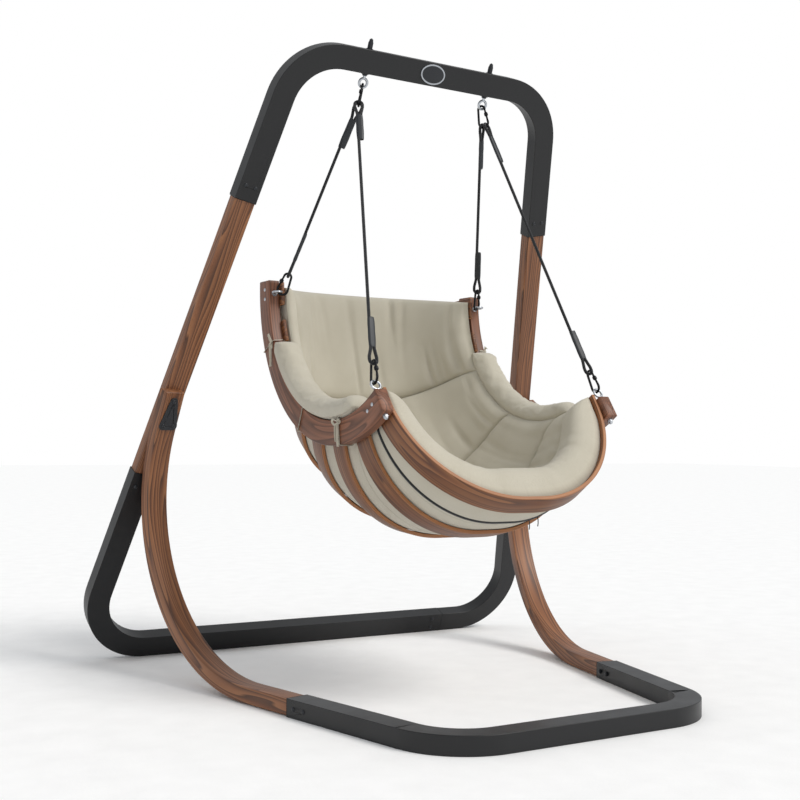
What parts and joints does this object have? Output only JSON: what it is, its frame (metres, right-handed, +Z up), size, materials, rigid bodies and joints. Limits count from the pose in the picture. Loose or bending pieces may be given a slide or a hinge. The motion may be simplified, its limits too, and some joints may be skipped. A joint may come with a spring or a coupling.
{
  "type": "hanging swing chair",
  "caption": "Free-standing hanging swing chair: bucket seat of bent plywood hoops with a padded lining, hung on four ropes from a leaning tube and timber stand.",
  "frame": {"origin": "on the floor, under the middle of the object's bounding box", "axes": "+Z up, -Y towards the open front of the seat, +X to the right seen from the front"},
  "size_m": [1.8848, 1.8221, 2.1679],
  "materials": {
    "frame_paint": "fine satin anthracite powder coat",
    "stained_beam": "brown stained glue-laminated softwood, satin",
    "bent_plywood": "brown stained bent plywood, satin",
    "black_bolts": "black coated steel",
    "zinc_steel": "bright zinc plated",
    "black_steel": "black passivated steel, slightly glossy",
    "badge_metal": "brushed, blank",
    "rope": "braided polyester, matt",
    "heat_shrink": "shrunk polyolefin, slightly glossy",
    "cushion_cloth": "woven light beige polyester canvas"
  },
  "bodies": {
    "stand": {"badge": "badge_metal", "frame_bolts": "black_bolts", "frame_nuts": "black_bolts", "front_bow": "frame_paint", "lap_screws": "black_bolts", "left_leg": "stained_beam", "left_leg_plate": "frame_paint", "left_upright": "stained_beam", "rear_bow_left": "frame_paint", "rear_bow_right": "frame_paint", "rear_splice_sleeve": "frame_paint", "right_leg": "stained_beam", "right_leg_plate": "frame_paint", "right_upright": "stained_beam", "top_bow": "frame_paint", "top_eye_bolts": "zinc_steel", "top_eye_nuts": "zinc_steel"},
    "swing": {"back_cushion": "cushion_cloth", "front_roll": "cushion_cloth", "hook_pins": "black_steel", "hoop_1": "bent_plywood", "hoop_2": "bent_plywood", "hoop_3": "bent_plywood", "hoop_4": "bent_plywood", "hoop_5": "bent_plywood", "hoop_6": "bent_plywood", "hoop_7": "bent_plywood", "hoop_8": "bent_plywood", "hoop_bolts": "zinc_steel", "hoop_nuts": "zinc_steel", "left_arm_pad": "cushion_cloth", "left_front_hook": "black_steel", "left_front_rope": "rope", "left_rear_hook": "black_steel", "left_rear_rope": "rope", "left_rib": "bent_plywood", "left_top_hook": "black_steel", "right_arm_pad": "cushion_cloth", "right_front_hook": "black_steel", "right_front_rope": "rope", "right_rear_hook": "black_steel", "right_rear_rope": "rope", "right_rib": "bent_plywood", "right_top_hook": "black_steel", "rope_sleeves": "heat_shrink", "seat_cushion": "cushion_cloth", "seat_eye_bolts": "zinc_steel", "seat_eye_nuts": "zinc_steel"},
    "left_top_gate": {"left_top_gate": "black_steel"},
    "left_top_nut": {"left_top_gate_nut": "black_steel"},
    "left_rear_gate": {"left_rear_gate": "black_steel"},
    "left_rear_nut": {"left_rear_gate_nut": "black_steel"},
    "left_front_gate": {"left_front_gate": "black_steel"},
    "left_front_nut": {"left_front_gate_nut": "black_steel"},
    "right_top_gate": {"right_top_gate": "black_steel"},
    "right_top_nut": {"right_top_gate_nut": "black_steel"},
    "right_rear_gate": {"right_rear_gate": "black_steel"},
    "right_rear_nut": {"right_rear_gate_nut": "black_steel"},
    "right_front_gate": {"right_front_gate": "black_steel"},
    "right_front_nut": {"right_front_gate_nut": "black_steel"}
  },
  "joints": [
    {"name": "swing_hinge", "type": "hinge", "parent": "stand", "child": "swing", "pos_m": [0, 0.03321, 2.01745], "axis": [1, 0, 0], "range_deg": [-25, 25]},
    {"name": "left_top_gate_hinge", "type": "hinge", "parent": "swing", "child": "left_top_gate", "pos_m": [-0.26097, 0.01855, 1.98212], "axis": [-0.8517, 0.4917, 0.181], "range_deg": [0, 18], "stiffness_Nm_per_rad": 0.12, "springref_deg": -6.88},
    {"name": "left_top_nut_spin", "type": "hinge", "parent": "left_top_gate", "child": "left_top_nut", "pos_m": [-0.25783, 0.01976, 1.99364], "axis": [0.2622, 0.1008, 0.9597], "continuous": true},
    {"name": "left_rear_gate_hinge", "type": "hinge", "parent": "swing", "child": "left_rear_gate", "pos_m": [-0.42212, 0.29866, 1.35897], "axis": [0.4786, 0.8472, 0.2308], "range_deg": [0, 18], "stiffness_Nm_per_rad": 0.12, "springref_deg": -6.88},
    {"name": "left_rear_nut_spin", "type": "hinge", "parent": "left_rear_gate", "child": "left_rear_nut", "pos_m": [-0.4182, 0.29367, 1.36916], "axis": [0.3268, -0.4159, 0.8487], "continuous": true},
    {"name": "left_front_gate_hinge", "type": "hinge", "parent": "swing", "child": "left_front_gate", "pos_m": [-0.42129, -0.403, 1.02064], "axis": [-0.986, 0, 0.167], "range_deg": [0, 18], "stiffness_Nm_per_rad": 0.12, "springref_deg": -6.88},
    {"name": "left_front_nut_spin", "type": "hinge", "parent": "left_front_gate", "child": "left_front_nut", "pos_m": [-0.41955, -0.397, 1.03089], "axis": [0.1446, 0.5001, 0.8538], "continuous": true},
    {"name": "right_top_gate_hinge", "type": "hinge", "parent": "swing", "child": "right_top_gate", "pos_m": [0.26097, 0.01855, 1.98212], "axis": [-0.8517, -0.4917, -0.181], "range_deg": [0, 18], "stiffness_Nm_per_rad": 0.12, "springref_deg": -6.88},
    {"name": "right_top_nut_spin", "type": "hinge", "parent": "right_top_gate", "child": "right_top_nut", "pos_m": [0.25783, 0.01976, 1.99364], "axis": [-0.2622, 0.1008, 0.9597], "continuous": true},
    {"name": "right_rear_gate_hinge", "type": "hinge", "parent": "swing", "child": "right_rear_gate", "pos_m": [0.42212, 0.29866, 1.35897], "axis": [0.4786, -0.8472, -0.2308], "range_deg": [0, 18], "stiffness_Nm_per_rad": 0.12, "springref_deg": -6.88},
    {"name": "right_rear_nut_spin", "type": "hinge", "parent": "right_rear_gate", "child": "right_rear_nut", "pos_m": [0.4182, 0.29367, 1.36916], "axis": [-0.3268, -0.4159, 0.8487], "continuous": true},
    {"name": "right_front_gate_hinge", "type": "hinge", "parent": "swing", "child": "right_front_gate", "pos_m": [0.42129, -0.403, 1.02064], "axis": [-0.986, 0, -0.167], "range_deg": [0, 18], "stiffness_Nm_per_rad": 0.12, "springref_deg": -6.88},
    {"name": "right_front_nut_spin", "type": "hinge", "parent": "right_front_gate", "child": "right_front_nut", "pos_m": [0.41955, -0.397, 1.03089], "axis": [-0.1446, 0.5001, 0.8538], "continuous": true}
  ]
}
